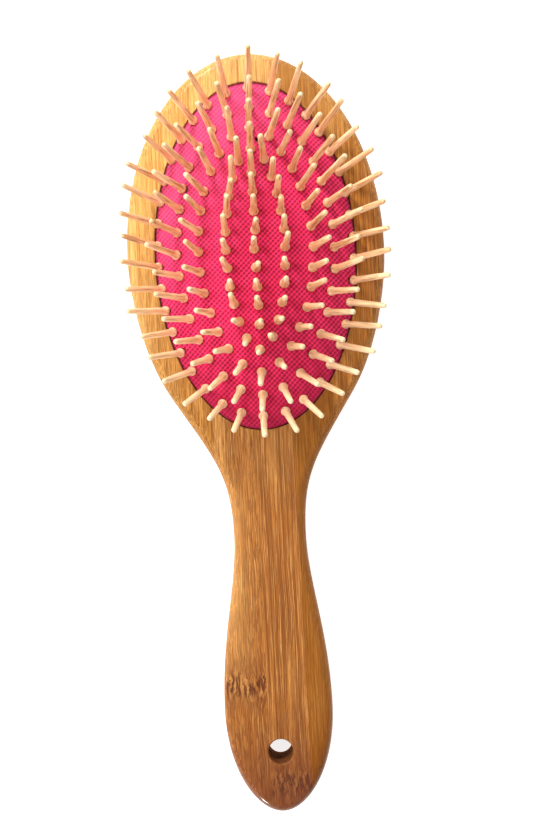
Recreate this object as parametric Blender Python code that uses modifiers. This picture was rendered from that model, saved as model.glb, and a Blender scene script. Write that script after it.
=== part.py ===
"""An oval paddle hair brush: a bamboo body, a domed air cushion faced with cloth, and wooden pins.

Metres, +Z up. The back lies on Z = 0, +Y points to the head and X = 0 is the plane of symmetry.
The pins stand square to the cushion's dome. Neighbouring pins are joined behind the rubber by a
thin hidden tie, which stands for the strip of rubber that holds them in place.
"""

import math

import bmesh
import bpy
import numpy as np
from mathutils import Matrix, Vector

MM = 0.001
GAP = 0.3 * MM  # clearance between pieces that touch on the real brush

# Bamboo body
BODY_LENGTH = 227 * MM
BODY_THICKNESS = 11.5 * MM
BODY_EDGE_RADIUS = 3 * MM
OUTLINE_STEPS = 8  # edges between two points of the outline

# The outline's right side, from the end of the handle to the top of the head: half width,
# distance from the handle's end, heading in degrees from +Y, and the reach of the curve's
# handles before and after the point
OUTLINE = (
    (0, 0, 90, 0, 7.8 * MM),
    (16.2 * MM, 30.8 * MM, 0, 18.1 * MM, 22.7 * MM),
    (10.8 * MM, 82.7 * MM, 0, 15 * MM, 18.4 * MM),
    (27.2 * MM, 124.8 * MM, 32.3, 22.3 * MM, 16 * MM),
    (38.6 * MM, 167.7 * MM, 0, 10.4 * MM, 33.7 * MM),
    (0, BODY_LENGTH, -90, 21 * MM, 0),
)

# Hanging hole near the end of the handle
HOLE_RADIUS = 3.6 * MM
HOLE_FROM_END = 18.5 * MM
HOLE_SIDES = 20

# Pocket for the cushion
PAD_CENTRE_FROM_END = 166.1 * MM
POCKET_HALF_WIDTH = 30.2 * MM
POCKET_HALF_LENGTH = 52 * MM
POCKET_DEPTH = 6.5 * MM
POCKET_SIDES = 44
GROOVE_RADIUS = 1.2 * MM
GROOVE_DEPTH = 4.2 * MM  # below the front face

# Cushion: height above the rim falls with the cube of the distance from the middle
DOME_HEIGHT = 7 * MM
DOME_STEPS = 28
DOME_SHARES = (0, 0.35, 0.6, 0.8, 0.93, 1)  # of the way from the middle to the rim
RIM_GAP = 0.5 * MM  # shows as a dark line between the cloth and the bamboo
CLOTH_THICKNESS = 0.5 * MM
CLOTH_SKIRT = 2.2 * MM
RUBBER_THICKNESS = 1 * MM
RUBBER_BELOW_CLOTH = 1 * MM  # between their outer faces
RUBBER_INSET = 0.8 * MM
BEAD_RADIUS = 0.8 * MM
VENT_FROM_PAD_CENTRE = 33.2 * MM
VENT_HALF_SIDE = 0.5 * MM

# Pins
PIN_LENGTH = 18 * MM
PIN_SIDES = 6
PIN_TIP_RADIUS = 0.7 * MM
PIN_TIP_ROUND = 0.5 * MM
PIN_SHANK_RADIUS = 1.05 * MM
PIN_FLARE = 1.6 * MM
PIN_FOOT_RADIUS = 1.4 * MM
PIN_NECK_RADIUS = 0.75 * MM
PIN_ROOT = 3.5 * MM  # below the cloth's outer face
PIN_HOLE_HALF_SIDE = PIN_NECK_RADIUS + GAP
TIE_RADIUS = 0.45 * MM

# Rings of pins, outer first: half width, half length, power of the oval's equation, and the
# number of pins in each arc, clockwise from the arc at the head's end
RINGS_FORWARD = 0.8 * MM  # the rings' centre lies this far from the pad's centre, towards the head
RINGS = {
    "outer_ring": (28.6 * MM, 48.3 * MM, 2, (3, 4, 4, 4, 4, 3, 4, 4, 4, 4)),
    "second_ring": (22.8 * MM, 42 * MM, 1.92, (3, 4, 5, 4, 3, 4, 5, 4)),
    "third_ring": (16.6 * MM, 35.5 * MM, 1.81, (3, 4, 3, 4, 3, 4, 3, 4)),
    "inner_ring": (8.6 * MM, 29 * MM, 1.9, (3, 3, 3, 3, 3, 3, 3, 3)),
}
MIDDLE_ROW_SPACING = 5.45 * MM
MIDDLE_ROW_ARCS = (3, 3, 3)

# Derived places
FRONT = BODY_THICKNESS
HALF_LENGTH = BODY_LENGTH / 2
PAD_Y = PAD_CENTRE_FROM_END - HALF_LENGTH
CLOTH_HALF_WIDTH = POCKET_HALF_WIDTH - RIM_GAP
CLOTH_HALF_LENGTH = POCKET_HALF_LENGTH - RIM_GAP


def new_material(name, colour, roughness):
    material = bpy.data.materials.new(name)
    material.use_nodes = True
    shader = material.node_tree.nodes["Principled BSDF"]
    shader.inputs["Base Color"].default_value = (*colour, 1)
    shader.inputs["Roughness"].default_value = roughness
    shader.inputs["Metallic"].default_value = 0
    return material


def new_collection(name):
    collection = bpy.data.collections.new(name)
    bpy.context.scene.collection.children.link(collection)
    return collection


def new_object(name, data, collection, location=(0, 0, 0)):
    item = bpy.data.objects.new(name, data)
    item.location = location
    collection.objects.link(item)
    return item


def as_cutter(item):
    item.hide_render = True
    item.display_type = "WIRE"
    return item


def evaluated_mesh(item):
    """The item's mesh with its modifiers or its curve worked out, welded, and the item removed."""
    bpy.context.view_layer.update()
    shown = item.evaluated_get(bpy.context.evaluated_depsgraph_get())
    mesh = bpy.data.meshes.new_from_object(shown)
    mesh.transform(item.matrix_world)
    built = bmesh.new()
    built.from_mesh(mesh)
    bmesh.ops.remove_doubles(built, verts=built.verts, dist=0.005 * MM)
    built.to_mesh(mesh)
    built.free()
    bpy.data.objects.remove(item)
    return mesh


def turned_mesh(profile, steps, collection):
    """A closed or open turned surface from (radius, height) points that run down its outer side."""
    line = bpy.data.meshes.new("profile")
    corners = [(radius, 0, height) for radius, height in profile]
    line.from_pydata(corners, [(n, n + 1) for n in range(len(corners) - 1)], [])
    item = new_object("profile", line, collection)
    screw = item.modifiers.new("Screw", "SCREW")
    screw.axis = "Z"
    screw.steps = steps
    screw.render_steps = steps
    screw.use_merge_vertices = True
    screw.merge_threshold = 0.005 * MM
    return evaluated_mesh(item)


def tube_mesh(points, radius, collection, cyclic=False):
    """A square tube along the points, with filled ends unless it is a closed loop."""
    curve = bpy.data.curves.new("tube", "CURVE")
    curve.dimensions = "3D"
    curve.bevel_depth = radius
    curve.bevel_resolution = 0
    curve.use_fill_caps = not cyclic
    spline = curve.splines.new("POLY")
    spline.points.add(len(points) - 1)
    spline.use_cyclic_u = cyclic
    for place, point in zip(spline.points, points):
        place.co = (*point, 1)
    return evaluated_mesh(new_object("tube", curve, collection))


def shade(mesh, degrees=40):
    mesh.shade_smooth()
    mesh.set_sharp_from_angle(angle=math.radians(degrees))


def add_boolean(item, operation, other):
    boolean = item.modifiers.new(other.name, "BOOLEAN")
    boolean.operation = operation
    boolean.solver = "EXACT"
    boolean.object = other


def oval(half_width, half_length, sides, height):
    """Points round an ellipse about the pad's centre."""
    turns = [2 * math.pi * n / sides for n in range(sides)]
    return [(half_width * math.cos(t), PAD_Y + half_length * math.sin(t), height) for t in turns]


def rim_share(x, y):
    """How far (x, y) lies on the way from the pad's centre, 0, to the cloth's rim, 1."""
    return math.hypot(x / CLOTH_HALF_WIDTH, (y - PAD_Y) / CLOTH_HALF_LENGTH)


def dome_point(x, y):
    return Vector((x, y, FRONT + DOME_HEIGHT * (1 - rim_share(x, y) ** 3)))


def dome_normal(x, y):
    steepness = 3 * DOME_HEIGHT * rim_share(x, y)
    across = steepness * x / CLOTH_HALF_WIDTH**2
    along = steepness * (y - PAD_Y) / CLOTH_HALF_LENGTH**2
    return Vector((across, along, 1)).normalized()


def body_outline():
    """The body's outline as a closed Bezier curve, filled and given its thickness and round edges."""
    curve = bpy.data.curves.new("outline", "CURVE")
    curve.dimensions = "2D"
    curve.fill_mode = "BOTH"
    curve.extrude = BODY_THICKNESS / 2 - BODY_EDGE_RADIUS
    curve.bevel_depth = BODY_EDGE_RADIUS
    curve.bevel_resolution = 1
    curve.offset = -BODY_EDGE_RADIUS
    curve.resolution_u = OUTLINE_STEPS
    right = [(1, point) for point in OUTLINE]
    left = [(-1, point) for point in reversed(OUTLINE[1:-1])]
    spline = curve.splines.new("BEZIER")
    spline.bezier_points.add(len(right) + len(left) - 1)
    spline.use_cyclic_u = True
    for place, (side, point) in zip(spline.bezier_points, right + left):
        half_width, from_end, heading, before, after = point
        centre = Vector((side * half_width, from_end - HALF_LENGTH, 0))
        turn = math.radians(heading)
        onward = Vector((side * math.sin(turn), math.cos(turn), 0)) * side
        if side < 0:
            before, after = after, before
        if half_width == 0:
            before = after = max(before, after)
        place.co = centre
        place.handle_left_type = "FREE"
        place.handle_right_type = "FREE"
        place.handle_left = centre - onward * before
        place.handle_right = centre + onward * after
    return curve


def make_bamboo_body(parts, cutters, material):
    slab = new_object("outline", body_outline(), parts, (0, 0, BODY_THICKNESS / 2))
    mesh = evaluated_mesh(slab)
    shade(mesh)
    mesh.materials.clear()
    mesh.materials.append(material)
    body = new_object("bamboo_body", mesh, parts)

    pocket = bmesh.new()
    bmesh.ops.create_cone(
        pocket,
        cap_ends=True,
        segments=POCKET_SIDES,
        radius1=1,
        radius2=1,
        depth=2 * POCKET_DEPTH,
    )
    bmesh.ops.scale(pocket, vec=(POCKET_HALF_WIDTH, POCKET_HALF_LENGTH, 1), verts=pocket.verts)
    bmesh.ops.translate(pocket, vec=(0, PAD_Y, FRONT), verts=pocket.verts)
    add_boolean(body, "DIFFERENCE", mesh_cutter("pocket_cutter", pocket, cutters))

    groove_line = oval(POCKET_HALF_WIDTH, POCKET_HALF_LENGTH, POCKET_SIDES, FRONT - GROOVE_DEPTH)
    groove = tube_mesh(groove_line, GROOVE_RADIUS, cutters, cyclic=True)
    add_boolean(body, "DIFFERENCE", as_cutter(new_object("groove_cutter", groove, cutters)))

    hole = bmesh.new()
    bmesh.ops.create_cone(
        hole,
        cap_ends=True,
        segments=HOLE_SIDES,
        radius1=HOLE_RADIUS,
        radius2=HOLE_RADIUS,
        depth=2 * BODY_THICKNESS,
    )
    hole_place = (0, HOLE_FROM_END - HALF_LENGTH, BODY_THICKNESS / 2)
    bmesh.ops.translate(hole, vec=hole_place, verts=hole.verts)
    add_boolean(body, "DIFFERENCE", mesh_cutter("hanging_hole_cutter", hole, cutters))
    return body


def mesh_cutter(name, built, cutters):
    mesh = bpy.data.meshes.new(name)
    built.to_mesh(mesh)
    built.free()
    return as_cutter(new_object(name, mesh, cutters))


def make_dome(name, half_width, half_length, below, skirt, thickness, parts, material):
    """A domed shell with a skirt that hangs into the pocket, thickened inwards."""
    steps = [
        (share * half_length, DOME_HEIGHT * (1 - share**3) - below) for share in DOME_SHARES
    ]
    profile = [*steps, (half_length, -below - skirt)]
    mesh = turned_mesh(profile, DOME_STEPS, parts)
    mesh.transform(Matrix.Diagonal((half_width / half_length, 1, 1, 1)))
    mesh.transform(Matrix.Translation((0, PAD_Y, FRONT)))
    shade(mesh)
    mesh.materials.append(material)
    item = new_object(name, mesh, parts)
    solidify = item.modifiers.new("Solidify", "SOLIDIFY")
    solidify.thickness = thickness
    solidify.offset = -1
    solidify.use_even_offset = True
    return item


def ring_points(half_width, half_length, power, count):
    """Evenly spaced points round an oval, clockwise from the head's end."""
    turns = np.linspace(0, math.pi, 2001)
    across = half_width * np.abs(np.sin(turns)) ** (2 / power)
    along = half_length * np.sign(np.cos(turns)) * np.abs(np.cos(turns)) ** (2 / power)
    walked = np.concatenate([[0], np.cumsum(np.hypot(np.diff(across), np.diff(along)))])
    stops = np.linspace(0, walked[-1], count // 2 + 1)
    right = [(np.interp(s, walked, across), np.interp(s, walked, along)) for s in stops]
    left = [(-x, y) for x, y in reversed(right[1:-1])]
    middle = PAD_Y + RINGS_FORWARD
    return [(float(x), middle + float(y)) for x, y in right + left]


def pin_arcs():
    """Each arc's name and its pins' places on the cloth, row by row."""
    arcs = {}
    for ring, (half_width, half_length, power, sizes) in RINGS.items():
        points = ring_points(half_width, half_length, power, sum(sizes))
        first = -(sizes[0] // 2)
        for number, size in enumerate(sizes, 1):
            places = [points[n % len(points)] for n in range(first, first + size)]
            arcs[f"{ring}_pins_{number:02d}"] = places
            first += size
    count = sum(MIDDLE_ROW_ARCS)
    start = PAD_Y + RINGS_FORWARD + MIDDLE_ROW_SPACING * (count - 1) / 2
    row = [(0, start - MIDDLE_ROW_SPACING * n) for n in range(count)]
    first = 0
    for number, size in enumerate(MIDDLE_ROW_ARCS, 1):
        arcs[f"middle_row_pins_{number:02d}"] = row[first : first + size]
        first += size
    return arcs


def standing(x, y):
    """The matrix that stands a piece made about +Z on the dome at (x, y)."""
    normal = dome_normal(x, y)
    turn = Vector((0, 0, 1)).rotation_difference(normal)
    return Matrix.LocRotScale(dome_point(x, y), turn, None)


def pin_mesh(parts):
    """One pin, with the cloth's outer face at its Z = 0."""
    profile = (
        (0, PIN_LENGTH),
        (PIN_TIP_RADIUS, PIN_LENGTH - PIN_TIP_ROUND),
        (PIN_SHANK_RADIUS, PIN_FLARE),
        (PIN_FOOT_RADIUS, GAP),
        (PIN_NECK_RADIUS, GAP),
        (PIN_NECK_RADIUS, -PIN_ROOT),
        (0, -PIN_ROOT),
    )
    return turned_mesh(profile, PIN_SIDES, parts)


def arc_pivot(name, places):
    """Where an arc turns: at its own feet in the outer ring, on the cloth's rim in the second
    ring, and otherwise the pad's centre, as it only slides."""
    middle = sum((dome_point(x, y) for x, y in places), Vector()) / len(places)
    if name.startswith("outer_ring"):
        return middle
    if name.startswith("second_ring"):
        return rim_pivot(middle)
    return Vector((0, PAD_Y, FRONT))


def rim_pivot(middle):
    """The point of the cloth's rim on the dome's slope from the middle of an arc."""
    outward = dome_normal(middle.x, middle.y)
    outward.z = 0
    outward.normalize()
    reach = 0
    while rim_share(middle.x + outward.x * reach, middle.y + outward.y * reach) < 1:
        reach += 0.01 * MM
    return Vector((middle.x + outward.x * reach, middle.y + outward.y * reach, FRONT))


def make_arc(name, places, pin, parts, cutters, material):
    """The pins of one arc, joined to the tie that runs through their roots."""
    pivot = arc_pivot(name, places)
    pins = bmesh.new()
    for x, y in places:
        copy = pin.copy()
        copy.transform(Matrix.Translation(-pivot) @ standing(x, y))
        pins.from_mesh(copy)
        bpy.data.meshes.remove(copy)
    pins_mesh = bpy.data.meshes.new(f"{name}_loose")
    pins.to_mesh(pins_mesh)
    pins.free()
    shade(pins_mesh)
    pins_mesh.materials.append(material)
    loose = as_cutter(new_object(f"{name}_loose", pins_mesh, cutters, pivot))

    tie_depth = PIN_ROOT - TIE_RADIUS
    roots = [dome_point(x, y) - dome_normal(x, y) * tie_depth - pivot for x, y in places]
    tie = tube_mesh(roots, TIE_RADIUS, parts)
    shade(tie)
    tie.materials.clear()
    tie.materials.append(material)
    arc = new_object(name, tie, parts, pivot)
    add_boolean(arc, "UNION", loose)
    return arc


def make_hole_cutter(arcs, cutters):
    """A square rod through the cushion at each pin, and one for the air vent."""
    rods = bmesh.new()
    spots = [(place, PIN_HOLE_HALF_SIDE) for places in arcs.values() for place in places]
    spots.append(((0, PAD_Y + VENT_FROM_PAD_CENTRE), VENT_HALF_SIDE))
    for (x, y), half_side in spots:
        rod = bmesh.ops.create_cube(rods, size=1)["verts"]
        bmesh.ops.scale(rods, vec=(2 * half_side, 2 * half_side, 2 * PIN_ROOT), verts=rod)
        bmesh.ops.transform(rods, matrix=standing(x, y), verts=rod)
    return mesh_cutter("pin_hole_cutter", rods, cutters)


def make_cushion(arcs, parts, cutters, rubber, cloth):
    cover = make_dome(
        "fabric_cover",
        CLOTH_HALF_WIDTH,
        CLOTH_HALF_LENGTH,
        0,
        CLOTH_SKIRT,
        CLOTH_THICKNESS,
        parts,
        cloth,
    )
    cushion = make_dome(
        "rubber_cushion",
        CLOTH_HALF_WIDTH - RUBBER_INSET,
        CLOTH_HALF_LENGTH - RUBBER_INSET,
        RUBBER_BELOW_CLOTH,
        GROOVE_DEPTH - RUBBER_BELOW_CLOTH,
        RUBBER_THICKNESS,
        parts,
        rubber,
    )
    bead_line = oval(
        CLOTH_HALF_WIDTH - RUBBER_INSET + BEAD_RADIUS,
        CLOTH_HALF_LENGTH - RUBBER_INSET + BEAD_RADIUS,
        POCKET_SIDES,
        FRONT - GROOVE_DEPTH,
    )
    bead_mesh = tube_mesh(bead_line, BEAD_RADIUS, cutters, cyclic=True)
    bead_mesh.materials.append(rubber)
    add_boolean(cushion, "UNION", as_cutter(new_object("bead", bead_mesh, cutters)))
    holes = make_hole_cutter(arcs, cutters)
    for item in (cover, cushion):
        add_boolean(item, "DIFFERENCE", holes)
    return cover, cushion


def main():
    for item in list(bpy.data.objects):
        bpy.data.objects.remove(item)
    parts = new_collection("paddle_brush")
    cutters = new_collection("cutters")
    bamboo = new_material("bamboo", (0.55, 0.26, 0.08), 0.5)
    rubber = new_material("rubber", (0.12, 0.11, 0.1), 0.8)
    cloth = new_material("cloth", (0.85, 0.03, 0.17), 0.9)
    pin_wood = new_material("pin_wood", (0.87, 0.62, 0.36), 0.5)
    arcs = pin_arcs()
    body = make_bamboo_body(parts, cutters, bamboo)
    cover, cushion = make_cushion(arcs, parts, cutters, rubber, cloth)
    pin = pin_mesh(cutters)
    pieces = [make_arc(name, arcs[name], pin, parts, cutters, pin_wood) for name in arcs]
    brush = new_object("brush", None, parts)
    for item in (body, cover, cushion, *pieces):
        item.parent = brush


main()
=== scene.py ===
import math

import bmesh
import bpy
import numpy as np
from mathutils import Matrix, Vector


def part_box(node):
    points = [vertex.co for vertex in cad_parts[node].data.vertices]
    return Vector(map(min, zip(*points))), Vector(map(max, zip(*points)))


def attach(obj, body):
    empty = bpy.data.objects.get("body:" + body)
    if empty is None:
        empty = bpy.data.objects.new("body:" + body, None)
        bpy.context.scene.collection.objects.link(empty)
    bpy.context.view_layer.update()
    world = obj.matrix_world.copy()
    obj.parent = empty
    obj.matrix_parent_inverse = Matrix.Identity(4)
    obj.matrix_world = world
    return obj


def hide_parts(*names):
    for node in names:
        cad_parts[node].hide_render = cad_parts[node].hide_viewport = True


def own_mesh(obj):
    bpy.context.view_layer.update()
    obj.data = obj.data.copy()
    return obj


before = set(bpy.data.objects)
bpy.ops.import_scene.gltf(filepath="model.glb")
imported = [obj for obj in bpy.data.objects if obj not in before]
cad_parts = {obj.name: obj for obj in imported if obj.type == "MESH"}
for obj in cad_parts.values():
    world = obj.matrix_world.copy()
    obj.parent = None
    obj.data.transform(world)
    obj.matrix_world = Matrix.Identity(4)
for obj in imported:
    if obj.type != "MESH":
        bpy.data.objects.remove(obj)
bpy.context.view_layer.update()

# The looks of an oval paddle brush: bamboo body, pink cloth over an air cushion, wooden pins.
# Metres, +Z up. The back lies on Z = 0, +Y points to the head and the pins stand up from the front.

MM = 0.001
WELD_DISTANCE = 0.002 * MM

# Places read from the frame
BODY_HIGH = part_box("bamboo_body")[1]
COVER_LOW, COVER_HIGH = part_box("fabric_cover")
CUSHION_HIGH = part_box("rubber_cushion")[1]
FRONT = BODY_HIGH.z
HALF_LENGTH = BODY_HIGH.y
PAD_Y = (COVER_LOW.y + COVER_HIGH.y) / 2
COVER_HALF_WIDTH = COVER_HIGH.x
COVER_HALF_LENGTH = (COVER_HIGH.y - COVER_LOW.y) / 2
DOME_HEIGHT = COVER_HIGH.z - FRONT
SKIRT = FRONT - COVER_LOW.z

# Bamboo body. The outline's right side, from the end of the handle to the top of the head: half
# width, distance from the handle's end, heading in degrees from +Y, and the reach of the curve's
# handles before and after the point.
OUTLINE = (
    (0, 0, 90, 0, 7.8 * MM),
    (16.2 * MM, 30.8 * MM, 0, 18.1 * MM, 22.7 * MM),
    (10.8 * MM, 82.7 * MM, 0, 15 * MM, 18.4 * MM),
    (27.2 * MM, 124.8 * MM, 32.3, 22.3 * MM, 16 * MM),
    (38.6 * MM, 167.7 * MM, 0, 10.4 * MM, 33.7 * MM),
    (0, 2 * HALF_LENGTH, -90, 21 * MM, 0),
)
OUTLINE_STEPS = 28
EDGE_RADIUS = 3 * MM
EDGE_STEPS = 7
HOLE_RADIUS = 3.6 * MM
HOLE_FROM_END = 18.5 * MM
HOLE_SIDES = 72
HOLE_SOFTENING = 0.6 * MM
POCKET_GAP = 0.3 * MM
POCKET_DEPTH = 6.5 * MM
POCKET_SIDES = 180
POCKET_SOFTENING = 0.25 * MM
GROOVE_DEPTH = 4.2 * MM
GROOVE_RADIUS = 1.2 * MM

# Cushion
CLOTH_THICKNESS = 0.5 * MM
CLOTH_STEPS = (56, 96)  # quads across and along, before the one subdivision
PUFF_LIMIT = 0.45 * MM  # how far the cloth may swell between the pins
SIMULATED_FRAMES = 16
SIMULATION_SCALE = 100  # a cloth of some centimetres is simulated as metres
PIN_GRIP = 1.3 * MM  # the cloth is held this near to a pin
FOLD_RADIUS = 0.5 * MM
CLOTH_HOLE_RADIUS = 1.15 * MM
VENT_PLACE = (1.9 * MM, 33.2 * MM)  # from the pad's centre
VENT_HALF_WIDTH = 0.45 * MM
VENT_HALF_LENGTH = 0.8 * MM
RUBBER_THICKNESS = 1 * MM
RUBBER_BELOW_CLOTH = 1 * MM
BEAD_RADIUS = 0.8 * MM

# Pins
PIN_LENGTH = 18 * MM
PIN_SIDES = 22
TIP_RADIUS = 0.77 * MM
SHANK_RADIUS = 1.02 * MM
FOOT_RADIUS = 1.44 * MM
FOOT_HEIGHT = 0.9 * MM
FOOT_REACH = 0.75 * MM
NECK_RADIUS = 0.75 * MM
ROOT_RADIUS = 1.05 * MM
ROOT_DEPTH = 3.5 * MM
PIN_LEAN = 1.8  # degrees, as a standard deviation
INNER_LEAN = 0.2  # the inner ring's pins lean outwards by this share of the dome's slope
PIN_SHIFT = 0.12 * MM
PIN_STRETCH = 0.015
RINGS_FORWARD = 0.8 * MM
RINGS = {
    "outer_ring": (28.6 * MM, 48.3 * MM, 2, (3, 4, 4, 4, 4, 3, 4, 4, 4, 4)),
    "second_ring": (22.8 * MM, 42 * MM, 1.92, (3, 4, 5, 4, 3, 4, 5, 4)),
    "third_ring": (16.6 * MM, 35.5 * MM, 1.81, (3, 4, 3, 4, 3, 4, 3, 4)),
    "inner_ring": (8.6 * MM, 29 * MM, 1.9, (3, 3, 3, 3, 3, 3, 3, 3)),
}
MIDDLE_ROW_SPACING = 5.45 * MM
MIDDLE_ROW_ARCS = (3, 3, 3)

# Camera and stage
CAMERA_PLACE = (0.88 * MM, 4.25 * MM, 316.5 * MM)
CAMERA_TURN = 2.9  # degrees, clockwise
CAMERA_LENS = 44.2


# ---------------------------------------------------------------- shapes


def new_object(name, data):
    item = bpy.data.objects.new(name, data)
    bpy.context.scene.collection.objects.link(item)
    return item


def evaluated_mesh(item):
    """The item's mesh with its modifiers or its curve worked out, and the item removed."""
    bpy.context.view_layer.update()
    shown = item.evaluated_get(bpy.context.evaluated_depsgraph_get())
    mesh = bpy.data.meshes.new_from_object(shown)
    mesh.transform(item.matrix_world)
    bpy.data.objects.remove(item)
    return mesh


def welded(mesh):
    built = bmesh.new()
    built.from_mesh(mesh)
    bmesh.ops.remove_doubles(built, verts=built.verts, dist=WELD_DISTANCE)
    built.to_mesh(mesh)
    built.free()
    return mesh


def turned_mesh(name, profile, sides):
    """A lathe shape from (radius, height) points that run down its outer side."""
    turns = [2 * math.pi * n / sides for n in range(sides)]
    corners, rows = [], []
    for radius, height in profile:
        if radius == 0:
            rows.append([len(corners)] * sides)
            corners.append((0, 0, height))
            continue
        rows.append(list(range(len(corners), len(corners) + sides)))
        corners += [(radius * math.cos(t), radius * math.sin(t), height) for t in turns]
    faces = []
    for upper, lower in zip(rows, rows[1:]):
        for n in range(sides):
            m = (n + 1) % sides
            face = [upper[n], lower[n], lower[m], upper[m]]
            faces.append(list(dict.fromkeys(face)))
    mesh = bpy.data.meshes.new(name)
    mesh.from_pydata(corners, [], faces)
    return mesh


def scaled_oval(mesh, half_width, half_length, height):
    """Turns a unit lathe shape about Z into an oval one at the pad's centre."""
    mesh.transform(Matrix.Diagonal((half_width, half_length, 1, 1)))
    mesh.transform(Matrix.Translation((0, PAD_Y, height)))
    return mesh


def cut(item, mesh):
    """Cuts the mesh out of the item."""
    other = new_object("cutter", mesh)
    boolean = item.modifiers.new("cut", "BOOLEAN")
    boolean.operation = "DIFFERENCE"
    boolean.solver = "EXACT"
    boolean.object = other
    bpy.context.view_layer.update()
    shown = item.evaluated_get(bpy.context.evaluated_depsgraph_get())
    item.modifiers.remove(boolean)
    item.data = bpy.data.meshes.new_from_object(shown)
    bpy.data.objects.remove(other)


def rim_share(x, y):
    """How far (x, y) lies on the way from the pad's centre, 0, to the cloth's rim, 1."""
    return np.hypot(x / COVER_HALF_WIDTH, (y - PAD_Y) / COVER_HALF_LENGTH)


def dome_height(x, y):
    return FRONT + DOME_HEIGHT * (1 - rim_share(x, y) ** 3)


def dome_normal(x, y):
    steepness = 3 * DOME_HEIGHT * rim_share(x, y)
    across = steepness * x / COVER_HALF_WIDTH**2
    along = steepness * (y - PAD_Y) / COVER_HALF_LENGTH**2
    return Vector((across, along, 1)).normalized()


# ---------------------------------------------------------------- bamboo body


def body_outline():
    """The body's outline as a closed Bezier curve, filled and given its thickness and round edges."""
    curve = bpy.data.curves.new("outline", "CURVE")
    curve.dimensions = "2D"
    curve.fill_mode = "BOTH"
    curve.extrude = FRONT / 2 - EDGE_RADIUS
    curve.bevel_depth = EDGE_RADIUS
    curve.bevel_resolution = EDGE_STEPS
    curve.offset = -EDGE_RADIUS
    curve.resolution_u = OUTLINE_STEPS
    right = [(1, point) for point in OUTLINE]
    left = [(-1, point) for point in reversed(OUTLINE[1:-1])]
    spline = curve.splines.new("BEZIER")
    spline.bezier_points.add(len(right) + len(left) - 1)
    spline.use_cyclic_u = True
    for place, (side, point) in zip(spline.bezier_points, right + left):
        half_width, from_end, heading, before, after = point
        centre = Vector((side * half_width, from_end - HALF_LENGTH, 0))
        turn = math.radians(heading)
        onward = Vector((side * math.sin(turn), math.cos(turn), 0)) * side
        if side < 0:
            before, after = after, before
        if half_width == 0:
            before = after = max(before, after)
        place.co = centre
        place.handle_left_type = "FREE"
        place.handle_right_type = "FREE"
        place.handle_left = centre - onward * before
        place.handle_right = centre + onward * after
    return curve


def softened_bore(radius, low, high, softening, steps=6):
    """The profile of a cutter whose bore leaves rounded edges at both heights."""
    turns = [math.pi / 2 * n / steps for n in range(steps + 1)]
    top = [
        (radius + softening * (1 - math.cos(t)), high - softening * (1 - math.sin(t)))
        for t in reversed(turns)
    ]
    bottom = [
        (radius + softening * (1 - math.cos(t)), low + softening * (1 - math.sin(t)))
        for t in turns
    ]
    above = (radius + softening, high + MM)
    below = (radius + softening, low - MM)
    return [(0, above[1]), above, *top, *bottom, below, (0, below[1])]


def make_body(material):
    slab = new_object("outline", body_outline())
    slab.location.z = FRONT / 2
    body = new_object("bamboo_body_fine", welded(evaluated_mesh(slab)))

    hole = turned_mesh(
        "hole", softened_bore(HOLE_RADIUS, 0, FRONT, HOLE_SOFTENING), HOLE_SIDES
    )
    hole.transform(Matrix.Translation((0, HOLE_FROM_END - HALF_LENGTH, 0)))
    cut(body, hole)

    pocket_width = COVER_HALF_WIDTH + POCKET_GAP
    pocket_length = COVER_HALF_LENGTH + POCKET_GAP
    turns = [math.pi / 2 * n / 4 for n in range(5)]
    soft = POCKET_SOFTENING
    profile = [(0, MM), (1 + soft / pocket_width, MM)]
    profile += [
        (1 + soft * (1 - math.cos(t)) / pocket_width, -soft * (1 - math.sin(t)))
        for t in reversed(turns)
    ]
    profile += [(1, -POCKET_DEPTH + MM), (1 - MM / pocket_width, -POCKET_DEPTH)]
    profile += [(0, -POCKET_DEPTH)]
    pocket = turned_mesh("pocket", profile, POCKET_SIDES)
    cut(body, scaled_oval(pocket, pocket_width, pocket_length, FRONT))

    bulge = GROOVE_RADIUS / pocket_width
    turns = [math.pi * n / 8 for n in range(9)]
    groove_profile = [(0, GROOVE_RADIUS)]
    groove_profile += [
        (1 - bulge * 0.2 + bulge * math.sin(t), GROOVE_RADIUS * math.cos(t)) for t in turns
    ]
    groove_profile += [(0, -GROOVE_RADIUS)]
    groove = turned_mesh("groove", groove_profile, POCKET_SIDES)
    cut(body, scaled_oval(groove, pocket_width, pocket_length, FRONT - GROOVE_DEPTH))

    body.data.materials.clear()
    body.data.materials.append(material)
    body.data.shade_smooth()
    body.data.set_sharp_from_angle(angle=math.radians(40))
    normals = body.modifiers.new("face weighted normals", "WEIGHTED_NORMAL")
    normals.keep_sharp = True
    return body


# ---------------------------------------------------------------- pins


def ring_points(half_width, half_length, power, count):
    """Evenly spaced points round an oval, clockwise from the head's end."""
    turns = np.linspace(0, math.pi, 2001)
    across = half_width * np.abs(np.sin(turns)) ** (2 / power)
    along = half_length * np.sign(np.cos(turns)) * np.abs(np.cos(turns)) ** (2 / power)
    walked = np.concatenate([[0], np.cumsum(np.hypot(np.diff(across), np.diff(along)))])
    stops = np.linspace(0, walked[-1], count // 2 + 1)
    right = [(np.interp(s, walked, across), np.interp(s, walked, along)) for s in stops]
    left = [(-x, y) for x, y in reversed(right[1:-1])]
    middle = PAD_Y + RINGS_FORWARD
    return [(float(x), middle + float(y)) for x, y in right + left]


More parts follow.
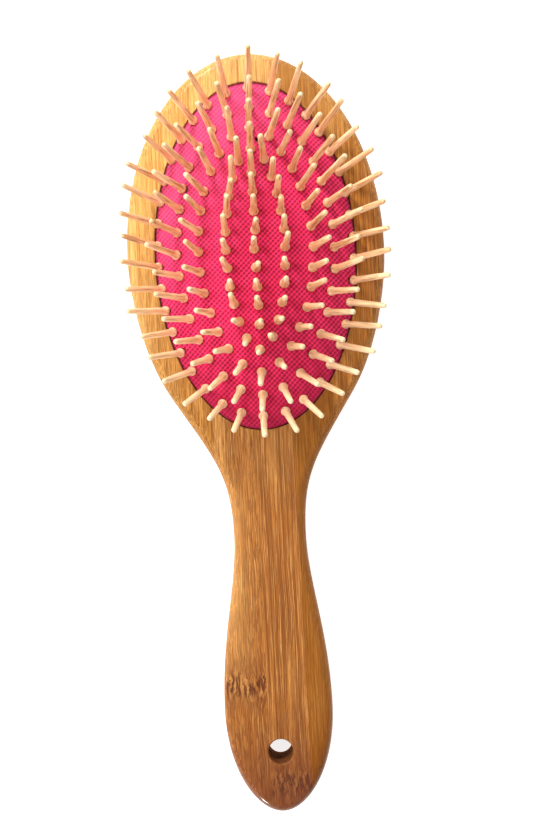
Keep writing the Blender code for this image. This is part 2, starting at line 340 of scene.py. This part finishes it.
def pin_arcs():
    """Each arc's name and its pins' places on the cloth, row by row."""
    arcs = {}
    for ring, (half_width, half_length, power, sizes) in RINGS.items():
        points = ring_points(half_width, half_length, power, sum(sizes))
        first = -(sizes[0] // 2)
        for number, size in enumerate(sizes, 1):
            places = [points[n % len(points)] for n in range(first, first + size)]
            arcs[f"{ring}_pins_{number:02d}"] = places
            first += size
    count = sum(MIDDLE_ROW_ARCS)
    start = PAD_Y + RINGS_FORWARD + MIDDLE_ROW_SPACING * (count - 1) / 2
    row = [(0, start - MIDDLE_ROW_SPACING * n) for n in range(count)]
    first = 0
    for number, size in enumerate(MIDDLE_ROW_ARCS, 1):
        arcs[f"middle_row_pins_{number:02d}"] = row[first : first + size]
        first += size
    return arcs


def pin_radius(height):
    """The pin's radius between its foot and the start of its round tip."""
    taper = SHANK_RADIUS + (TIP_RADIUS - SHANK_RADIUS) * height / PIN_LENGTH
    bulb = math.exp(-(((height - FOOT_HEIGHT) / FOOT_REACH) ** 2))
    return taper + (FOOT_RADIUS - SHANK_RADIUS) * bulb


def pin_mesh():
    """One pin: round tip, tapered shank, bulb that sits on the cloth, neck and hidden root."""
    tip_turns = [math.pi / 2 * n / 6 for n in range(7)]
    profile = [
        (TIP_RADIUS * math.sin(t), PIN_LENGTH - TIP_RADIUS * (1 - math.cos(t))) for t in tip_turns
    ]
    profile[0] = (0, PIN_LENGTH)
    shank = np.concatenate([np.linspace(15.5, 4, 6), np.linspace(3.2, 0.5, 8)]) * MM
    profile += [(pin_radius(height), float(height)) for height in shank]
    foot_bottom = pin_radius(0.5 * MM)
    under_turns = [math.pi / 2 * n / 3 for n in range(1, 4)]
    inwards = foot_bottom - NECK_RADIUS
    profile += [
        (foot_bottom - inwards * (1 - math.cos(t)), 0.5 * MM * (1 - math.sin(t)))
        for t in under_turns
    ]
    root_centre = -ROOT_DEPTH + ROOT_RADIUS * 0.6
    profile += [(NECK_RADIUS, root_centre + ROOT_RADIUS * 0.7)]
    profile += [
        (ROOT_RADIUS * math.sin(t), root_centre + 0.6 * ROOT_RADIUS * math.cos(t))
        for t in [math.radians(a) for a in (50, 90, 130)]
    ]
    profile += [(0, -ROOT_DEPTH)]
    return turned_mesh("pin", profile, PIN_SIDES)


def make_arc(name, places, pin, chance, material):
    """The pins of one arc, each a little out of true, with its own grain."""
    arc = bmesh.new()
    grain = arc.verts.layers.float_vector.new("grain")
    for x, y in places:
        lean = Matrix.Rotation(math.radians(chance.normal(0, PIN_LEAN)), 4, "X")
        lean @= Matrix.Rotation(math.radians(chance.normal(0, PIN_LEAN)), 4, "Y")
        twist = Matrix.Rotation(chance.uniform(0, 2 * math.pi), 4, "Z")
        stretch = Matrix.Diagonal((1, 1, 1 + chance.normal(0, PIN_STRETCH), 1))
        x += chance.normal(0, PIN_SHIFT)
        y += chance.normal(0, PIN_SHIFT)
        shift = Vector(chance.uniform(0, 1, 3))
        foot = Vector((x, y, dome_height(x, y)))
        outward = dome_normal(x, y)
        if name.startswith("inner_ring"):
            outward.x *= INNER_LEAN
        upright = Vector((0, 0, 1)).rotation_difference(outward).to_matrix().to_4x4()
        stand = Matrix.Translation(foot) @ upright @ lean @ twist @ stretch
        known = len(arc.verts)
        arc.from_mesh(pin)
        arc.verts.ensure_lookup_table()
        for vert in arc.verts[known:]:
            vert[grain] = vert.co + shift
            vert.co = stand @ vert.co
    mesh = bpy.data.meshes.new(name)
    arc.to_mesh(mesh)
    arc.free()
    mesh.materials.append(material)
    mesh.shade_smooth()
    return new_object(name.replace("_pins_", "_pins_fine_"), mesh)


# ---------------------------------------------------------------- cushion


def dome_grid():
    """A grid of quads over the cloth's oval, laid on the dome."""
    across, along = CLOTH_STEPS
    built = bmesh.new()
    bmesh.ops.create_grid(built, x_segments=across, y_segments=along, size=1)
    for vert in built.verts:
        u, v = vert.co.x, vert.co.y
        x = COVER_HALF_WIDTH * u * math.sqrt(1 - v * v / 2)
        y = PAD_Y + COVER_HALF_LENGTH * v * math.sqrt(1 - u * u / 2)
        vert.co = (x, y, dome_height(x, y))
    mesh = bpy.data.meshes.new("cloth")
    built.to_mesh(mesh)
    built.free()
    return mesh


def coordinates(mesh):
    flat = np.empty(len(mesh.vertices) * 3)
    mesh.vertices.foreach_get("co", flat)
    return flat.reshape(-1, 3)


def nearest(points, spots):
    """Each point's distance to the nearest spot, measured along the floor, and that spot's number."""
    gaps = np.hypot(
        points[:, None, 0] - spots[None, :, 0], points[:, None, 1] - spots[None, :, 1]
    )
    return gaps.min(axis=1), gaps.argmin(axis=1)


def simulate_puff(cloth, spots):
    """Lets air pressure swell the cloth between the pins and the rim, which hold it down."""
    rest = coordinates(cloth.data)
    distance, _ = nearest(rest, spots)
    held = (distance < PIN_GRIP) | (rim_share(rest[:, 0], rest[:, 1]) > 0.995)
    cloth.data.transform(Matrix.Scale(SIMULATION_SCALE, 4))
    group = cloth.vertex_groups.new(name="held")
    group.add([int(n) for n in np.flatnonzero(held)], 1, "REPLACE")
    simulation = cloth.modifiers.new("Cloth", "CLOTH")
    settings = simulation.settings
    settings.quality = 6
    settings.mass = 0.2
    settings.air_damping = 3
    settings.tension_stiffness = 12
    settings.compression_stiffness = 12
    settings.shear_stiffness = 5
    settings.bending_stiffness = 0.3
    settings.vertex_group_mass = "held"
    settings.use_pressure = True
    settings.uniform_pressure_force = 6
    settings.effector_weights.gravity = 0
    simulation.point_cache.frame_start = 1
    simulation.point_cache.frame_end = SIMULATED_FRAMES
    for number in range(1, SIMULATED_FRAMES + 1):
        bpy.context.scene.frame_set(number)
    shown = cloth.evaluated_get(bpy.context.evaluated_depsgraph_get())
    moved = coordinates(shown.to_mesh()) / SIMULATION_SCALE
    cloth.modifiers.remove(simulation)
    bpy.context.scene.frame_set(1)
    rise = np.maximum((moved - rest)[:, 2], 0)
    rest[:, 2] += rise * min(1, PUFF_LIMIT / rise.max())
    cloth.data.vertices.foreach_set("co", rest.ravel())
    cloth.data.update()


def subdivided(item):
    """The mesh with each quad split into four smooth ones."""
    subdivision = item.modifiers.new("Subdivision", "SUBSURF")
    subdivision.levels = 1
    subdivision.render_levels = 1
    return evaluated_mesh(item)


def open_holes(built, spots, half_widths, half_lengths):
    """Removes the faces over each spot and rounds the edge that is left to the spot's oval."""
    points = np.array([face.calc_center_median() for face in built.faces])
    _, owner = nearest(points, spots)
    inside = np.hypot(
        (points[:, 0] - spots[owner, 0]) / half_widths[owner],
        (points[:, 1] - spots[owner, 1]) / half_lengths[owner],
    )
    doomed = [face for face, share in zip(built.faces, inside) if share < 1]
    near = {vert for face in doomed for vert in face.verts}
    bmesh.ops.delete(built, geom=doomed, context="FACES")
    edge = [vert for vert in near if vert.is_valid and vert.is_boundary]
    places = np.array([vert.co for vert in edge])
    _, owner = nearest(places, spots)
    for vert, n in zip(edge, owner):
        across = (vert.co.x - spots[n, 0]) / half_widths[n]
        along = (vert.co.y - spots[n, 1]) / half_lengths[n]
        share = math.hypot(across, along)
        vert.co.x = spots[n, 0] + across / share * half_widths[n]
        vert.co.y = spots[n, 1] + along / share * half_lengths[n]


def add_skirt(built):
    """Folds the cloth's rim over and down into the pocket."""
    rim = [edge for edge in built.edges if edge.is_boundary]
    drops = [FOLD_RADIUS * (1 - math.cos(math.radians(angle))) for angle in (30, 60, 90)]
    drops += [FOLD_RADIUS + (SKIRT - FOLD_RADIUS) * n / 3 for n in (1, 2, 3)]
    for drop in drops:
        made = bmesh.ops.extrude_edge_only(built, edges=rim)["geom"]
        rim = [part for part in made if isinstance(part, bmesh.types.BMEdge)]
        verts = [part for part in made if isinstance(part, bmesh.types.BMVert)]
        for vert in verts:
            vert.co.z = FRONT - drop
    bmesh.ops.recalc_face_normals(built, faces=built.faces)


def make_cover(arcs, material):
    spots = np.array([place for places in arcs.values() for place in places])
    vent = np.array([(VENT_PLACE[0], PAD_Y + VENT_PLACE[1])])
    cloth = new_object("cloth", dome_grid())
    simulate_puff(cloth, spots)
    built = bmesh.new()
    built.from_mesh(subdivided(cloth))
    add_skirt(built)
    open_holes(
        built,
        np.concatenate([spots, vent]),
        np.array([CLOTH_HOLE_RADIUS] * len(spots) + [VENT_HALF_WIDTH]),
        np.array([CLOTH_HOLE_RADIUS] * len(spots) + [VENT_HALF_LENGTH]),
    )
    mesh = bpy.data.meshes.new("cover")
    built.to_mesh(mesh)
    built.free()
    sheet = new_object("sheet", mesh)
    solidify = sheet.modifiers.new("Solidify", "SOLIDIFY")
    solidify.thickness = CLOTH_THICKNESS
    solidify.offset = -1
    cover = new_object("fabric_cover_fine", evaluated_mesh(sheet))
    cover.data.materials.append(material)
    cover.data.shade_smooth()
    cover.data.set_sharp_from_angle(angle=math.radians(60))
    return cover


def make_cushion(arcs, material):
    """The moulded rubber shell under the cloth, with a bead that sits in the pocket's groove."""
    half_width = CUSHION_HIGH.x - 2 * BEAD_RADIUS
    half_length = CUSHION_HIGH.y - PAD_Y - 2 * BEAD_RADIUS
    below = RUBBER_BELOW_CLOTH
    shares = np.linspace(0, 1, 25)
    profile = [(float(s), float(DOME_HEIGHT * (1 - s**3) - below)) for s in shares]
    bead = -GROOVE_DEPTH
    profile += [(1, bead + BEAD_RADIUS)]
    turns = [math.radians(angle) for angle in range(20, 361, 20)]
    around = BEAD_RADIUS / half_width
    profile += [
        (1 + around * (1 - math.cos(t)), bead + BEAD_RADIUS * math.sin(t)) for t in turns[:9]
    ]
    mesh = turned_mesh("rubber", profile, 120)
    shell = new_object("shell", scaled_oval(mesh, half_width, half_length, FRONT))
    solidify = shell.modifiers.new("Solidify", "SOLIDIFY")
    solidify.thickness = RUBBER_THICKNESS
    solidify.offset = -1
    cushion = new_object("rubber_cushion_fine", evaluated_mesh(shell))
    cushion.data.materials.append(material)
    cushion.data.shade_smooth()
    cushion.data.set_sharp_from_angle(angle=math.radians(60))
    return cushion


# ---------------------------------------------------------------- materials


class Graph:
    """Builds one material's nodes. A number, a colour or another node's output feeds any input."""

    def __init__(self, name):
        self.material = bpy.data.materials.new(name)
        self.material.use_nodes = True
        self.tree = self.material.node_tree
        self.shader = self.tree.nodes["Principled BSDF"]

    def feed(self, socket, value):
        if isinstance(value, bpy.types.NodeSocket):
            self.tree.links.new(value, socket)
        else:
            socket.default_value = value

    def node(self, kind, inputs, **settings):
        made = self.tree.nodes.new(kind)
        for key, value in settings.items():
            setattr(made, key, value)
        for key, value in inputs.items():
            self.feed(made.inputs[key], value)
        return made

    def math(self, operation, first, second=0.0, third=0.0):
        inputs = {0: first, 1: second, 2: third}
        return self.node("ShaderNodeMath", inputs, operation=operation).outputs[0]

    def add(self, first, second):
        return self.math("ADD", first, second)

    def times(self, first, second):
        return self.math("MULTIPLY", first, second)

    def step(self, value, low, high):
        """0 below low, 1 above high, and a smooth rise between."""
        inputs = {"Value": value, "From Min": low, "From Max": high}
        return self.node("ShaderNodeMapRange", inputs, interpolation_type="SMOOTHSTEP").outputs[0]

    def mix(self, share, first, second):
        inputs = {0: share, 6: first, 7: second}
        return self.node("ShaderNodeMix", inputs, data_type="RGBA").outputs[2]

    def layered(self, colour, layers):
        """The colour under layers of (share, colour), the first one lowest."""
        for share, tint in layers:
            colour = self.mix(share, colour, tint)
        return colour

    def opposite(self, share):
        return self.math("SUBTRACT", 1.0, share)

    def vector(self, x, y, z):
        return self.node("ShaderNodeCombineXYZ", {0: x, 1: y, 2: z}).outputs[0]

    def length(self, vector):
        return self.node("ShaderNodeVectorMath", {0: vector}, operation="LENGTH").outputs[1]

    def noise(self, vector, detail, roughness=0.5):
        inputs = {"Vector": vector, "Scale": 1.0, "Detail": detail, "Roughness": roughness}
        return self.node("ShaderNodeTexNoise", inputs).outputs["Fac"]

    def millimetres(self, source):
        """The three parts of a vector in metres, in millimetres."""
        scaled = self.node("ShaderNodeVectorMath", {0: source, 3: 1 / MM}, operation="SCALE")
        return self.node("ShaderNodeSeparateXYZ", {0: scaled.outputs[0]}).outputs

    def object_millimetres(self):
        return self.millimetres(self.node("ShaderNodeTexCoord", {}).outputs["Object"])

    def bump(self, height, distance):
        inputs = {"Height": height, "Distance": distance, "Strength": 1.0}
        self.feed(self.shader.inputs["Normal"], self.node("ShaderNodeBump", inputs).outputs[0])

    def constants(self, **values):
        for key, value in values.items():
            self.shader.inputs[key.replace("_", " ")].default_value = value


# The bamboo's values are in millimetres.
STRIP_WIDTH = 12  # of the strips that the body is laminated from
STRIP_SHIFT = 3.3
KNUCKLE_OF_STRIP_ZERO = -104.5
KNUCKLE_STEP = -29.5  # from one strip's knuckle to the next one's
HANDLE_END = -HALF_LENGTH / MM
DARK_END_LENGTH = 34  # the handle's end darkens over this length
BORE_EDGE = HOLE_RADIUS / MM + 0.15


def bamboo_grain(g, x, y, z, strip):
    """The bamboo's fibres and knuckles, each from 0 to 1, by name."""
    shift = g.times(strip, 31.7)
    knuckle = g.add(g.times(strip, KNUCKLE_STEP), KNUCKLE_OF_STRIP_ZERO)
    ragged = g.noise(g.vector(g.times(x, 0.45), 0.0, shift), detail=1.0)
    ragged = g.times(g.add(ragged, -0.5), 5.0)
    gap = g.math("ABSOLUTE", g.add(g.math("SUBTRACT", y, knuckle), ragged))
    near_knuckle = g.opposite(g.step(gap, 1.5, 5.5))
    round_knuckle = g.opposite(g.step(gap, 2.0, 13.0))

    wander = g.noise(g.vector(g.times(x, 0.25), g.times(y, 0.03), shift), detail=1.0)
    swirl = g.noise(g.vector(g.times(x, 0.45), g.times(y, 0.22), g.add(shift, z)), detail=0.0)
    swirl = g.times(g.times(g.add(swirl, -0.5), round_knuckle), 2.4)
    across = g.add(x, g.add(g.times(wander, 1.6), swirl))

    def fibres(fine, long, detail, roughness=0.55):
        """Noise drawn out along Y: fibres to a millimetre across, and the same along."""
        vector = g.vector(g.times(across, fine), g.add(g.times(y, long), shift), g.times(z, fine))
        return g.noise(vector, detail=detail, roughness=roughness)

    crowd = g.noise(g.vector(g.times(across, 0.4), g.times(y, 0.02), shift), detail=1.0)
    threshold = g.add(0.66, g.times(crowd, -0.22))
    curl = g.noise(g.vector(g.times(x, 0.6), g.times(y, 0.5), shift), detail=1.0)
    hooked = g.times(g.add(x, g.times(g.add(curl, -0.5), 2.0)), 1.9)
    knots = g.noise(g.vector(hooked, g.times(y, 0.24), g.times(z, 0.5)), detail=1.0)
    return {
        "round_knuckle": round_knuckle,
        "broad": fibres(0.22, 0.01, 2.0),
        "streaks": fibres(1.3, 0.011, 3.0, 0.6),
        "lines": g.step(fibres(3.1, 0.013, 1.0), threshold, g.add(threshold, 0.04)),
        "hairs": g.step(fibres(4.6, 0.03, 1.0), 0.55, 0.62),
        "dashes": g.step(fibres(3.2, 0.22, 1.0), 0.54, 0.6),
        "threads": fibres(5.5, 0.09, 2.0),
        "speckle": fibres(6.0, 1.1, 2.0),
        "strokes": g.times(g.step(knots, 0.51, 0.57), near_knuckle),
        "glints": g.times(g.opposite(g.step(knots, 0.38, 0.46)), near_knuckle),
    }


def bamboo_colour(g, x, y, strip, grain, end_share, bore):
    """Paler towards the head and the left, partly the bamboo's own tone and partly painted light from
    the upper left; redder at the handle's end; painted shade in the bore and on the right side, and a
    painted highlight on the neck's left edge.
    """
    left = g.math("LESS_THAN", strip, -0.5)
    middle = g.math("COMPARE", strip, 0.0, 0.5)
    right = g.math("COMPARE", strip, 1.0, 0.5)
    # Paler towards the head and the left: partly the bamboo's own tone, partly painted light from the
    # upper left.
    sideways = g.add(-0.006, g.times(g.step(y, 20, 65), -0.012))
    tone_and_painted_light = g.add(g.add(g.times(y, 0.0075), g.times(x, sideways)), -0.12)
    drift = g.step(g.add(tone_and_painted_light, g.times(grain["broad"], 0.5)), -0.2, 0.9)
    colour = g.mix(drift, (0.50, 0.165, 0.020, 1), (0.80, 0.46, 0.145, 1))

    strong = g.add(1.0, g.times(drift, -0.55))
    line_share = g.add(0.5, g.add(g.times(middle, 0.25), g.times(left, -0.05)))
    dash_share = g.add(0.25, g.times(left, 0.4))
    glints = g.times(grain["glints"], g.add(1.0, g.times(end_share, -0.9)))
    # Painted light on the neck: a painted highlight along its left edge and painted shade along its
    # right edge.
    neck = g.times(g.step(y, -90, -45), g.opposite(g.step(y, -30, -2)))
    painted_left_edge_light = g.times(g.opposite(g.step(x, -13, -3)), neck)
    painted_right_edge_shade = g.times(g.step(x, 3, 13), neck)
    layers = (
        (g.times(g.step(grain["threads"], 0.5, 0.62), 0.5), (1.0, 0.56, 0.18, 1)),
        (g.times(g.step(grain["streaks"], 0.4, 0.68), 0.4), (0.36, 0.105, 0.012, 1)),
        (g.times(g.times(grain["lines"], line_share), strong), (0.24, 0.062, 0.003, 1)),
        (g.times(g.times(grain["hairs"], 0.6), strong), (0.22, 0.055, 0.006, 1)),
        (g.times(g.times(grain["dashes"], dash_share), strong), (0.24, 0.062, 0.008, 1)),
        (g.times(g.step(grain["speckle"], 0.5, 0.75), 0.22), (0.3, 0.09, 0.012, 1)),
        (g.times(grain["round_knuckle"], 0.45), (0.24, 0.06, 0.008, 1)),
        # The right strip darker: partly its own tone, partly painted shade on the right side.
        (g.times(right, 0.6), (0.33, 0.12, 0.025, 1)),
        (g.times(painted_left_edge_light, 0.3), (1.0, 0.56, 0.18, 1)),
        (g.times(painted_right_edge_shade, 0.3), (0.33, 0.12, 0.025, 1)),
        (g.times(end_share, 0.65), (0.17, 0.024, 0.001, 1)),
        (g.times(grain["strokes"], 0.8), (0.11, 0.017, 0.002, 1)),
        (g.times(glints, 0.55), (0.8, 0.36, 0.09, 1)),
        # Painted shade in the hole's bore.
        (g.times(bore, 0.55), (0.09, 0.03, 0.008, 1)),
    )
    colour = g.layered(colour, layers)
    scattered = g.times(g.math("SINE", g.add(g.times(strip, 12.9898), 4.1)), 437.58)
    chance = g.math("FRACT", scattered)
    inputs = {0: colour, 1: g.times(g.add(chance, -0.5), 0.03)}
    return g.node("ShaderNodeBrightContrast", inputs).outputs[0]


def bamboo_material():
    """Bamboo strips side by side, with fibres along Y, each strip with its own tone and knuckle."""
    g = Graph("bamboo")
    x, y, z = g.object_millimetres()
    strip = g.math("FLOOR", g.math("DIVIDE", g.add(x, STRIP_SHIFT), STRIP_WIDTH))
    grain = bamboo_grain(g, x, y, z, strip)
    end_share = g.opposite(g.step(y, HANDLE_END, HANDLE_END + DARK_END_LENGTH))
    hole_place = HANDLE_END + HOLE_FROM_END / MM
    from_hole = g.length(g.vector(x, g.add(y, -hole_place), 0.0))
    bore = g.math("LESS_THAN", from_hole, BORE_EDGE)

    colour = bamboo_colour(g, x, y, strip, grain, end_share, bore)
    g.feed(g.shader.inputs["Base Color"], colour)
    roughness = g.add(0.36, g.times(g.add(grain["streaks"], grain["lines"]), 0.16))
    g.feed(g.shader.inputs["Roughness"], g.add(roughness, g.times(bore, 0.5)))
    g.feed(g.shader.inputs["Specular IOR Level"], g.add(0.12, g.times(bore, -0.1)))
    coat = g.times(g.add(0.12, g.times(end_share, 0.28)), g.opposite(bore))
    g.feed(g.shader.inputs["Coat Weight"], coat)
    g.constants(Coat_Roughness=0.14)
    sunk = g.times(g.add(grain["lines"], grain["strokes"]), -0.7)
    grooves = g.times(g.add(grain["streaks"], grain["dashes"]), -0.5)
    g.bump(g.add(g.add(g.times(grain["threads"], 0.6), sunk), grooves), 0.1 * MM)
    return g.material


WEAVE_PITCH = 1.06  # mm between threads


def thread_height(g, along, across, sign):
    """The height of the threads that run along one direction, waving over and under."""
    number = g.math("FLOOR", across)
    middle = g.add(g.times(g.math("FRACT", across), 2), -1)
    crown = g.opposite(g.times(middle, middle))
    wave = g.math("COSINE", g.times(g.add(g.add(along, -0.5), number), math.pi))
    return g.times(g.math("SQRT", crown), g.add(0.62, g.times(wave, 0.38 * sign)))


def from_thread_middle(g, across):
    """0 along the middle of a thread, 1 along its borders."""
    return g.math("ABSOLUTE", g.add(g.times(g.math("FRACT", across), 2), -1))


def cloth_material():
    """Plain weave laid at 45 degrees, hot pink, with painted shading across the threads, painted
    shade in the gaps between them and in the rim's crease, painted light towards the upper left and
    painted shade on the slope by the handle.
    """
    g = Graph("cloth")
    x, y, z = g.object_millimetres()
    slack = g.noise(g.vector(g.times(x, 0.06), g.times(y, 0.06), 0.0), detail=1.0)
    diagonal = 1 / math.sqrt(2) / WEAVE_PITCH
    warp = g.add(g.times(g.add(x, y), diagonal), slack)
    weft = g.add(g.times(g.math("SUBTRACT", x, y), diagonal), slack)
    weft_height = g.times(thread_height(g, weft, warp, -1), 0.85)
    height = g.math("MAXIMUM", thread_height(g, warp, weft, 1), weft_height)
    warp_border = from_thread_middle(g, warp)
    weft_border = from_thread_middle(g, weft)
    borders = g.add(g.times(warp_border, 0.7), g.times(weft_border, 1.4))
    # Painted shading of the weave: each thread lighter along its crown and darker at its borders,
    # with painted shade in the gaps between the threads.
    painted_thread_shading = g.opposite(g.step(borders, 0.35, 1.75))
    painted_hollow_shade = g.step(g.times(warp_border, weft_border), 0.16, 0.6)
    fuzz = g.noise(g.vector(g.times(x, 5), g.times(y, 5), g.times(z, 5)), detail=3.0)
    tone = g.noise(g.vector(g.times(x, 0.12), g.times(y, 0.12), 3.0), detail=2.0)
    # Painted light: the cloth paler and cooler towards the upper left.
    painted_light_from_left = g.math("SUBTRACT", g.add(y, -PAD_Y / MM), x)
    rim_x = g.times(x, MM / COVER_HALF_WIDTH)
    rim_y = g.times(g.add(y, -PAD_Y / MM), MM / COVER_HALF_LENGTH)
    to_rim = g.length(g.vector(rim_x, rim_y, 0.0))
    # By the handle the cloth slopes away from the light: painted shade towards its rim there, and a
    # weaker painted shade in its crease.
    near = g.opposite(g.step(g.add(y, -PAD_Y / MM), -48, -15))
    # Painted shade in the crease where the cloth turns down over the rim into the pocket.
    painted_fold_shade = g.times(g.step(to_rim, 0.981, 0.996), g.add(0.85, g.times(near, -0.45)))

    colour = g.mix(painted_thread_shading, (0.55, 0.003, 0.042, 1), (1.0, 0.042, 0.19, 1))
    layers = (
        (g.times(painted_hollow_shade, 0.85), (0.27, 0.001, 0.014, 1)),
        (g.times(g.step(fuzz, 0.35, 0.8), 0.25), (1.0, 0.14, 0.32, 1)),
        (g.times(g.step(tone, 0.3, 0.7), 0.2), (0.72, 0.012, 0.08, 1)),
        (g.times(g.step(painted_light_from_left, 0, 60), 0.25), (0.72, 0.18, 0.4, 1)),
        # Painted shade on the slope by the handle.
        (g.times(g.times(g.step(to_rim, 0.65, 1.0), near), 0.5), (0.4, 0.003, 0.015, 1)),
        (painted_fold_shade, (0.12, 0.001, 0.008, 1)),
    )
    colour = g.layered(colour, layers)
    g.feed(g.shader.inputs["Base Color"], colour)
    g.feed(g.shader.inputs["Roughness"], g.add(0.5, g.times(fuzz, 0.3)))
    g.bump(g.add(height, g.times(fuzz, 0.15)), 0.12 * MM)
    g.constants(Sheen_Weight=0.8, Sheen_Roughness=0.45, Sheen_Tint=(1, 0.3, 0.65, 1))
    g.constants(Specular_IOR_Level=0.25, Specular_Tint=(1, 0.4, 0.75, 1))
    return g.material


def pin_material():
    """Pale turned wood with fine fibres along each pin, each in its own tone, with painted light that
    makes them paler by the handle.
    """
    g = Graph("pin_wood")
    source = g.node("ShaderNodeAttribute", {}, attribute_name="grain").outputs["Vector"]
    x, y, z = g.millimetres(source)
    fine = g.noise(g.vector(g.times(x, 1.9), g.times(y, 1.9), g.times(z, 0.12)), detail=3.0)
    broad = g.noise(g.vector(g.times(x, 0.7), g.times(y, 0.7), g.times(z, 0.09)), detail=1.0)
    colour = g.mix(g.step(broad, 0.35, 0.65), (0.87, 0.54, 0.28, 1), (0.98, 0.76, 0.47, 1))
    colour = g.mix(g.times(g.step(fine, 0.52, 0.62), 0.7), colour, (0.45, 0.22, 0.075, 1))
    along = g.object_millimetres()[1]
    # Painted light: the pins towards the handle are painted paler, as if more brightly lit.
    near = g.opposite(g.step(g.add(along, -PAD_Y / MM), -55, 10))
    colour = g.mix(g.times(near, 0.5), colour, (1.0, 0.86, 0.58, 1))
    g.feed(g.shader.inputs["Base Color"], colour)
    g.feed(g.shader.inputs["Roughness"], g.add(0.36, g.times(fine, 0.25)))
    g.bump(fine, 0.03 * MM)
    g.constants(Coat_Weight=0.2, Coat_Roughness=0.3)
    return g.material


def rubber_material():
    """Matt moulded rubber with a fine stipple."""
    g = Graph("rubber")
    x, y, z = g.object_millimetres()
    stipple = g.noise(g.vector(g.times(x, 6), g.times(y, 6), g.times(z, 6)), detail=3.0)
    colour = g.mix(stipple, (0.02, 0.018, 0.018, 1), (0.06, 0.055, 0.052, 1))
    g.feed(g.shader.inputs["Base Color"], colour)
    g.feed(g.shader.inputs["Roughness"], g.add(0.65, g.times(stipple, 0.25)))
    g.bump(stipple, 0.04 * MM)
    return g.material


# ---------------------------------------------------------------- stage


def make_camera():
    data = bpy.data.cameras.new("camera")
    data.lens = CAMERA_LENS
    data.sensor_width = 36
    camera = new_object("camera", data)
    camera.location = CAMERA_PLACE
    camera.rotation_euler = (0, 0, -math.radians(CAMERA_TURN))
    bpy.context.scene.camera = camera


def make_light(name, place, target, size, power, colour):
    data = bpy.data.lights.new(name, "AREA")
    data.shape = "DISK"
    data.size = size
    data.energy = power
    data.color = colour
    light = new_object(name, data)
    light.location = place
    light.rotation_euler = (Vector(target) - Vector(place)).to_track_quat("-Z", "Y").to_euler()


def make_stage():
    built = bmesh.new()
    bmesh.ops.create_grid(built, x_segments=1, y_segments=1, size=6)
    mesh = bpy.data.meshes.new("floor")
    built.to_mesh(mesh)
    built.free()
    floor = new_object("floor", mesh)
    floor.location.z = -0.3 * MM
    g = Graph("floor")
    g.constants(Base_Color=(0.8, 0.8, 0.8, 1), Roughness=0.9, Specular_IOR_Level=0.0)
    g.constants(Emission_Color=(1, 1, 1, 1), Emission_Strength=0.8)
    mesh.materials.append(g.material)

    make_light("key", (-0.1, 0.36, 0.3), (0, 0.04, 0), 0.13, 1.75, (1, 0.95, 0.87))
    make_light("side", (-0.28, 0.1, 0.31), (0, 0.02, 0), 0.25, 1.0, (1, 0.97, 0.92))
    make_light("fill", (0.35, -0.1, 0.5), (0, 0, 0), 0.4, 0.3, (0.95, 0.97, 1))
    make_light("end", (-0.22, -0.5, 0.1), (0, -0.11, 0), 0.05, 1.0, (1, 1, 1))

    world = bpy.data.worlds.new("studio")
    world.use_nodes = True
    background = world.node_tree.nodes["Background"]
    background.inputs["Color"].default_value = (1, 1, 1, 1)
    background.inputs["Strength"].default_value = 0.36
    bpy.context.scene.world = world
    bpy.context.scene.view_settings.view_transform = "Standard"


# ---------------------------------------------------------------- the brush


def place(piece, body, nodes, slot):
    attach(piece, body)
    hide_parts(*nodes)


def body_of_arc(name):
    ring, number = name.split("_pins_")
    if ring in ("outer_ring", "second_ring"):
        return f"{ring}_arc_{number}"
    return ring


def make_brush():
    arcs = pin_arcs()
    wood = pin_material()
    pin = pin_mesh()
    chance = np.random.default_rng(11)
    place(make_body(bamboo_material()), "handle", ["bamboo_body"], "bamboo")
    for name, places in arcs.items():
        arc = make_arc(name, places, pin, chance, wood)
        place(arc, body_of_arc(name), [name], "pin_wood")
    cover = make_cover(arcs, cloth_material())
    cushion = make_cushion(arcs, rubber_material())
    place(cover, "handle", ["fabric_cover"], "cloth")
    place(cushion, "handle", ["rubber_cushion"], "rubber")
    for piece in (cover, cushion):
        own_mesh(piece)


make_camera()
make_stage()
make_brush()
